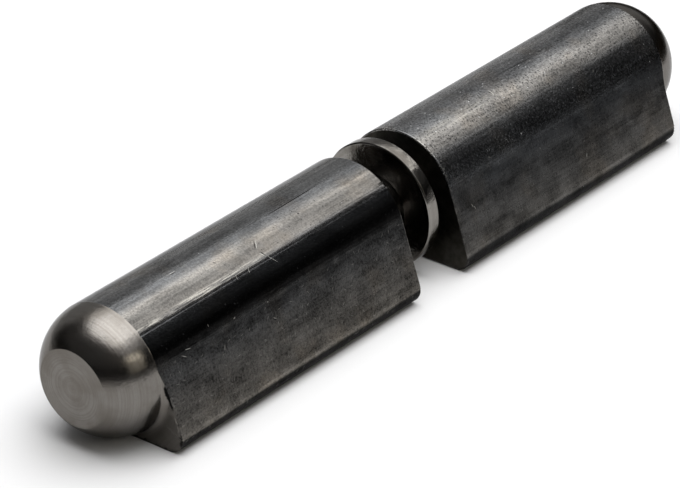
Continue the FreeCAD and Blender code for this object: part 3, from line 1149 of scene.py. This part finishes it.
    def bore_outline(self) -> list[Point]:
        """Outline of the drilled bore, from past its mouth to the point of the drill.

        Returns:
            The outline.
        """
        mouth = self.bore_radius + self.bore_mouth
        cone = self.bore_radius / math.tan(math.radians(self.drill_point / 2))
        tip = 0.02
        return [(MM, mouth + MM), (-self.bore_mouth, self.bore_radius), (-self.bore_depth, self.bore_radius),
                (-self.bore_depth - cone * (1 - tip), self.bore_radius * tip)]

    def on_tang_edge(self, vertex: bmesh.types.BMVert) -> bool:
        """Say whether a vertex lies where the tang's end meets the drawn skin."""
        return (abs(vertex.co.x - self.tang_x) < SAME_X
                and any(e.other_vert(vertex).co.x > self.tang_x + SAME for e in vertex.link_edges))

    def tear_edge(self, leaf: bpy.types.Object) -> None:
        """Leave the tang's cut edge slightly torn: its outline moves along the bar only, always inwards.

        Args:
            leaf: The leaf, turned and drilled.
        """
        take(leaf)
        bpy.ops.object.mode_set(mode="EDIT")
        pick(leaf, "edges", lambda e: all(map(self.on_tang_edge, e.verts)) and e.calc_length() > 0.3 * MM)
        bpy.ops.mesh.subdivide(number_cuts=3)
        for angle in (SEAM, math.pi, -SEAM):
            outward = Vector((0.0, math.cos(angle), math.sin(angle)))
            pick(leaf, "faces", lambda f: f.normal.x < -0.99 and all(
                abs(v.co.x - self.tang_x) < SAME_X for v in f.verts))
            bpy.ops.mesh.bisect(
                plane_co=Vector((self.tang_x, self.tip_y, 0.0)) + outward * (self.tip_radius - self.tear),
                plane_no=outward)
        pick(leaf, "verts", lambda v: self.on_tang_edge(v) and v.co.yz.length > 1.13 * self.barrel_radius)
        bpy.ops.object.mode_set(mode="OBJECT")
        Unevenness("torn_edge", self.tear, 0.0, self.tear_size, 3, "X").work_in(
            leaf, lambda vertex: float(vertex.select))

    def skin_of(self, polygon: bpy.types.MeshPolygon) -> LeafSkin:
        """Tell a face's surface by its place and normal.

        Args:
            polygon: The face.

        Returns:
            The surface.
        """
        centre, normal = polygon.center, polygon.normal
        outward = centre.y * normal.y + centre.z * normal.z
        near_axis = centre.yz.length < self.bore_radius + self.bore_mouth - SAME
        if near_axis and centre.x > -self.length + MM and (
                outward < 0 and abs(normal.x) < 0.95 or centre.x < -MM):
            return LeafSkin.DRILLED
        if normal.x > 0.99:
            return LeafSkin.SAWN
        if normal.x < -0.025:
            return LeafSkin.TURNED
        return LeafSkin.DRAWN

    def build(self) -> bpy.types.Object:
        """Build the leaf in its drawn position.

        Returns:
            The leaf.
        """
        leaf = self.draw_bar()
        self.mark_die_line(leaf)
        self.break_end(leaf)
        self.roughen(leaf)
        join_shapes(leaf, turn_outline("nose_cutter", self.nose_outline(), self.cutter_sides), "INTERSECT")
        join_shapes(leaf, turn_outline("drill", self.bore_outline(), self.drill_sides), "DIFFERENCE")
        self.tear_edge(leaf)
        for polygon in leaf.data.polygons:
            polygon.material_index = self.skin_of(polygon).value
        shade(leaf, self.smooth_below)
        return leaf

    def copy_to(self, leaf: bpy.types.Object, place: LeafPlace) -> bpy.types.Object:
        """Lay a copy of the leaf, with its own mesh, where one leaf of the hinge lies.

        Args:
            leaf: The leaf in its drawn position.
            place: Which leaf it becomes.

        Returns:
            The copy, with its place in its mesh.
        """
        take(leaf)
        bpy.ops.object.duplicate(linked=False)
        copy = bpy.context.object
        copy.name = copy.data.name = place.node + "_dressed"
        copy.rotation_euler = place.turn
        copy.location = (place.side * SAWN_END_X, AXIS_Y, AXIS_Z)
        fix_place(copy)
        return copy

    def dress(self, leaf: bpy.types.Object, place: LeafPlace,
              finishes: dict[LeafSkin, bpy.types.Material]) -> None:
        """Give the leaf its finishes and its body.

        Args:
            leaf: The leaf in its place.
            place: Which leaf it is.
            finishes: The finish of each of its surfaces.
        """
        slots = [polygon.material_index for polygon in leaf.data.polygons]
        leaf.data.materials.clear()
        for skin in LeafSkin:
            leaf.data.materials.append(finishes[skin])
        leaf.data.polygons.foreach_set("material_index", slots)
        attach(leaf, place.node)
        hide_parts(place.node)


@dataclass
class Washer:
    """Turned ring between the leaves, with broken outer edges."""

    near_x: float = 0.05 * MM
    far_x: float = 1.85 * MM
    radius: float = 8.0 * MM
    bore: float = 4.08 * MM
    edge: float = 0.16 * MM
    edge_round: float = 0.04 * MM
    sides: int = 240

    def build(self) -> bpy.types.Object:
        """Turn the ring, its edges slightly rounded.

        Returns:
            The washer.
        """
        corners = [(self.near_x, self.bore), (self.near_x, self.radius - self.edge),
                   (self.near_x + self.edge, self.radius), (self.far_x - self.edge, self.radius),
                   (self.far_x, self.radius - self.edge), (self.far_x, self.bore)]
        outline = soften_all(corners, self.edge_round, ring=True)
        washer = turn_outline("washer_dressed", outline, self.sides, ring=True)
        set_on_axis(washer)
        return washer

    def dress(self, washer: bpy.types.Object, finish: bpy.types.Material) -> None:
        """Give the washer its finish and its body.

        Args:
            washer: The washer.
            finish: Its finish.
        """
        washer.data.materials.append(finish)
        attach(washer, "washer")
        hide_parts("washer")


@dataclass
class Pin:
    """Loose hinge pin with chamfered ends."""

    near_x: float = -36.55 * MM
    far_x: float = 27.45 * MM
    radius: float = 4.0 * MM
    chamfer: float = 0.8 * MM
    centre_dot: float = 0.2 * MM
    edge_round: float = 0.08 * MM
    sides: int = 192

    def build(self) -> bpy.types.Object:
        """Turn the pin, its edges slightly rounded.

        Returns:
            The pin.
        """
        corners = [(self.near_x, self.centre_dot), (self.near_x, self.radius - self.chamfer),
                   (self.near_x + self.chamfer, self.radius), (self.far_x - self.chamfer, self.radius),
                   (self.far_x, self.radius - self.chamfer), (self.far_x, self.centre_dot)]
        pin = turn_outline("pin_dressed", soften_all(corners, self.edge_round), self.sides)
        set_on_axis(pin)
        return pin

    def dress(self, pin: bpy.types.Object, finish: bpy.types.Material) -> None:
        """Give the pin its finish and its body.

        Args:
            pin: The pin.
            finish: Its finish.
        """
        pin.data.materials.append(finish)
        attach(pin, "pin")
        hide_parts("pin")


@dataclass(frozen=True)
class Lamp:
    """Soft lamp: a rectangle that shines from a place towards a point, leaning sideways by some degrees."""

    name: str
    place: tuple[float, float, float]
    aim: tuple[float, float, float]
    size: tuple[float, float]
    radiance: float
    colour: Colour = (1.0, 1.0, 1.0)
    lean: float = 0.0

    def build(self) -> bpy.types.Object:
        """Hang the lamp.

        Returns:
            The lamp.
        """
        light = bpy.data.lights.new(self.name, "AREA")
        light.shape = "RECTANGLE"
        light.size, light.size_y = self.size
        light.energy = self.radiance * math.pi * self.size[0] * self.size[1]
        light.color = self.colour
        lamp = bpy.data.objects.new(self.name, light)
        bpy.context.scene.collection.objects.link(lamp)
        lamp.location = self.place
        towards = Vector(self.aim) - Vector(self.place)
        lean = Quaternion(towards.normalized(), math.radians(self.lean))
        lamp.rotation_euler = (lean @ towards.to_track_quat("-Z", "Y")).to_euler()
        lamp.visible_camera = False
        return lamp


@dataclass(frozen=True)
class Falloff:
    """How a softbox dims along one of its sides: places from 0 to 1 along it, and the level at each."""

    places: tuple[float, ...]
    levels: tuple[float, ...]

    def lay(self, wiring: Wiring, along: Socket) -> Socket:
        """Add the nodes that give the level from the place along the side."""
        stops = [(place, (level, level, level)) for place, level in zip(self.places, self.levels)]
        return wiring.levels(along, stops, "EASE")


@dataclass(frozen=True)
class Softbox:
    """Large lamp overhead that shines straight down and dims along both sides.

    The corner is the level in its corner of low X and high Y, and the corner's band is where it fades in and
    is reached, by the difference of the places along the two sides.
    """

    name: str
    low: Point
    high: Point
    height: float
    radiance: float
    along_x: Falloff
    along_y: Falloff
    corner: float = 1.0
    corner_band: Point = (-0.5, -0.78)

    def build(self) -> None:
        """Hang the softbox."""
        x, y = (self.low[0] + self.high[0]) / 2, (self.low[1] + self.high[1]) / 2
        size = (self.high[0] - self.low[0], self.high[1] - self.low[1])
        lamp = Lamp(self.name, (x, y, self.height), (x, y, 0.0), size, self.radiance).build()
        lamp.rotation_euler = (0.0, 0.0, 0.0)
        lamp.data.use_nodes = True
        wiring = Wiring(lamp.data.node_tree)
        right, back, _ = wiring.apart(wiring.node("NewGeometry").outputs["Parametric"])
        level = wiring.times(self.along_x.lay(wiring, right), self.along_y.lay(wiring, back))
        fade_in, reached = self.corner_band
        difference = wiring.calc("SUBTRACT", right, back)
        corner = wiring.ramp(difference, reached, fade_in, self.corner, 1.0, linear=True)
        strength = wiring.tree.nodes["Emission"].inputs["Strength"]
        wiring.tree.links.new(wiring.times(level, corner), strength)


@dataclass(frozen=True)
class Studio:
    """Pale floor, two softboxes overhead, two warm cards in front, a black flag and dark surroundings."""

    floor: MattFinish = MattFinish("pale_floor", (0.78, 0.78, 0.785))
    floor_half: float = 0.6
    floor_z: float = -0.02 * MM
    flag: MattFinish = MattFinish("black_flag", (0.02, 0.015, 0.01))
    flag_place: tuple[float, float, float] = (0.105, 0.0, 0.012)
    flag_size: Point = (0.024, 0.13)
    height: float = 0.9
    warm: Colour = (1.0, 0.94, 0.8)
    card_aim: tuple[float, float, float] = (-0.05, 0.0, 0.008)
    backdrop_side: tuple[float, float, float] = (0.45, 0.89, 0.0)

    def lay_floor(self) -> None:
        """Lay the floor under the hinge."""
        lay_down_tools()
        bpy.ops.mesh.primitive_plane_add(size=2 * self.floor_half, location=(0, 0, self.floor_z))
        floor = bpy.context.object
        floor.name = "floor"
        fix_place(floor)
        floor.data.materials.append(self.floor.make())

    def hang_lamps(self) -> None:
        """Hang the softboxes and stand the cards in front."""
        Softbox("softbox", (-0.44, -0.47), (1.12, 0.78), self.height, 3.9,
                Falloff((0.0, 0.06, 0.15, 0.26, 0.57, 0.81, 1.0), (0.3, 0.7, 0.95, 1.1, 0.95, 0.72, 0.3)),
                Falloff((0.0, 0.3, 0.55, 0.8, 1.0), (1.0, 1.0, 0.95, 0.6, 0.2)), corner=0.1).build()
        Softbox("front_box", (-0.5, -1.15), (0.75, -0.47), self.height, 2.4,
                Falloff((0.0, 0.2, 0.4, 0.8, 1.0), (0.2, 0.8, 1.0, 0.7, 0.3)),
                Falloff((0.0, 0.35, 0.64, 0.85, 1.0), (0.1, 0.22, 0.4, 0.8, 1.0))).build()
        Lamp("front_card", (-0.06, -0.604, 0.4), self.card_aim, (0.36, 0.13), 2.0, self.warm, 8.0).build()
        Lamp("low_card", (-0.06, -0.68, 0.24), self.card_aim, (0.36, 0.16), 0.5, self.warm).build()

    def stand_flag(self) -> None:
        """Stand a low black flag to the right, seen in reflections only, that darkens the far nose's edge."""
        lay_down_tools()
        bpy.ops.mesh.primitive_plane_add(size=1.0, location=self.flag_place, rotation=(0, math.pi / 2, 0))
        flag = bpy.context.object
        flag.name = "flag"
        flag.scale = (*self.flag_size, 1.0)
        fix_place(flag)
        flag.data.materials.append(self.flag.make())
        flag.visible_camera = flag.visible_diffuse = flag.visible_shadow = False

    def paint_world(self) -> None:
        """Dark room with a grey backdrop behind the hinge and a pale strip at the horizon."""
        world = bpy.data.worlds.new("studio")
        bpy.context.scene.world = world
        world.use_nodes = True
        world.node_tree.nodes.clear()
        wiring = Wiring(world.node_tree)
        direction = wiring.node("TexCoord").outputs["Generated"]
        x, _, z = wiring.apart(direction)
        behind = wiring.node("VectorMath", {0: direction, 1: self.backdrop_side}, operation="DOT_PRODUCT")
        backdrop = wiring.times(wiring.ramp(behind.outputs["Value"], 0.25, 0.65, 0.014, 0.52),
                                wiring.ramp(x, -0.14, 0.2, 0.03, 1.0))
        glow = wiring.ramp(z, 0.25, 0.55, 0.0, 0.11)
        strip = wiring.ramp(z, 0.22, -0.02, 0.0, 0.3)
        level = wiring.calc("MAXIMUM", backdrop, wiring.plus(glow, strip))
        shader = wiring.node("Background", {"Strength": level})
        wiring.node("OutputWorld", {0: shader.outputs[0]})

    def build(self) -> None:
        """Set up the floor, the lamps, the room and the plain colour settings."""
        self.lay_floor()
        self.hang_lamps()
        self.stand_flag()
        self.paint_world()
        bpy.context.scene.view_settings.view_transform = "Standard"


@dataclass(frozen=True)
class PhotoCamera:
    """Camera at the photograph's viewing angle, with a long lens and no depth of field.

    It looks past the middle of the hinge axis by the distances aside and above. Angles are in degrees, and
    the lens and the sensor in millimetres.
    """

    azimuth: float = -50.428
    elevation: float = 28.871
    roll: float = -1.0377
    distance: float = 0.472306
    aside: float = 4.38547 * MM
    above: float = 4.6263 * MM
    lens: float = 209.913
    sensor: float = 36.0

    def build(self) -> None:
        """Place the camera and make it the scene's own."""
        turn, rise = math.radians(self.azimuth), math.radians(self.elevation)
        back = Vector((math.sin(turn) * math.cos(rise), -math.cos(turn) * math.cos(rise), math.sin(rise)))
        facing = Quaternion(back, math.radians(self.roll)) @ (-back).to_track_quat("-Z", "Y")
        right = facing @ Vector((1, 0, 0))
        up = facing @ Vector((0, 1, 0))
        data = bpy.data.cameras.new("camera")
        data.sensor_width = self.sensor
        data.lens = self.lens
        data.clip_start = 0.01
        camera = bpy.data.objects.new("camera", data)
        bpy.context.scene.collection.objects.link(camera)
        camera.rotation_mode = "QUATERNION"
        camera.rotation_quaternion = facing
        camera.location = Vector(AXIS) + back * self.distance - right * self.aside - up * self.above
        bpy.context.scene.camera = camera


def report(piece: bpy.types.Object) -> None:
    """Log a finished piece with its size and its number of faces."""
    size = ", ".join(f"{length / MM:.2f}" for length in piece.dimensions)
    log.info("%s: %s mm, %d faces", piece.name, size, len(piece.data.polygons))


def main() -> None:
    """Build the pieces in order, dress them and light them."""
    logging.basicConfig(level=logging.INFO, format="%(name)s: %(message)s")
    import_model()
    PhotoCamera().build()
    finishes = {
        # The turned finish carries painted shade in the corner beside the tang
        LeafSkin.TURNED: TurnedSteel("turned_steel", corner_shade_centre=(-47.5, -7.49, 7.05)).make(),
        LeafSkin.SAWN: SawnSteel("sawn_steel").make(),
        LeafSkin.DRILLED: TurnedSteel("drilled_steel", (0.09, 0.085, 0.08), (0.04, 0.04, 0.04), 0.3).make()}
    maker = Leaf()
    drawn_leaf = maker.build()
    for skin in (LOWER_SKIN, UPPER_SKIN):
        leaf = maker.copy_to(drawn_leaf, skin.place)
        maker.dress(leaf, skin.place, {**finishes, LeafSkin.DRAWN: skin.make()})
        report(leaf)
    take(drawn_leaf)
    bpy.ops.object.delete()
    washer_maker = Washer()
    washer = washer_maker.build()
    washer_maker.dress(washer, TurnedSteel(
        "washer_finish", (0.23, 0.22, 0.204), (0.08, 0.074, 0.066), 0.11, waves=0.06, grain=0.012).make())
    report(washer)
    pin_maker = Pin()
    pin = pin_maker.build()
    pin_maker.dress(pin, TurnedSteel("pin_finish", (0.3, 0.29, 0.28), gloss=0.18).make())
    report(pin)
    Studio().build()


if __name__ == "__main__":
    main()
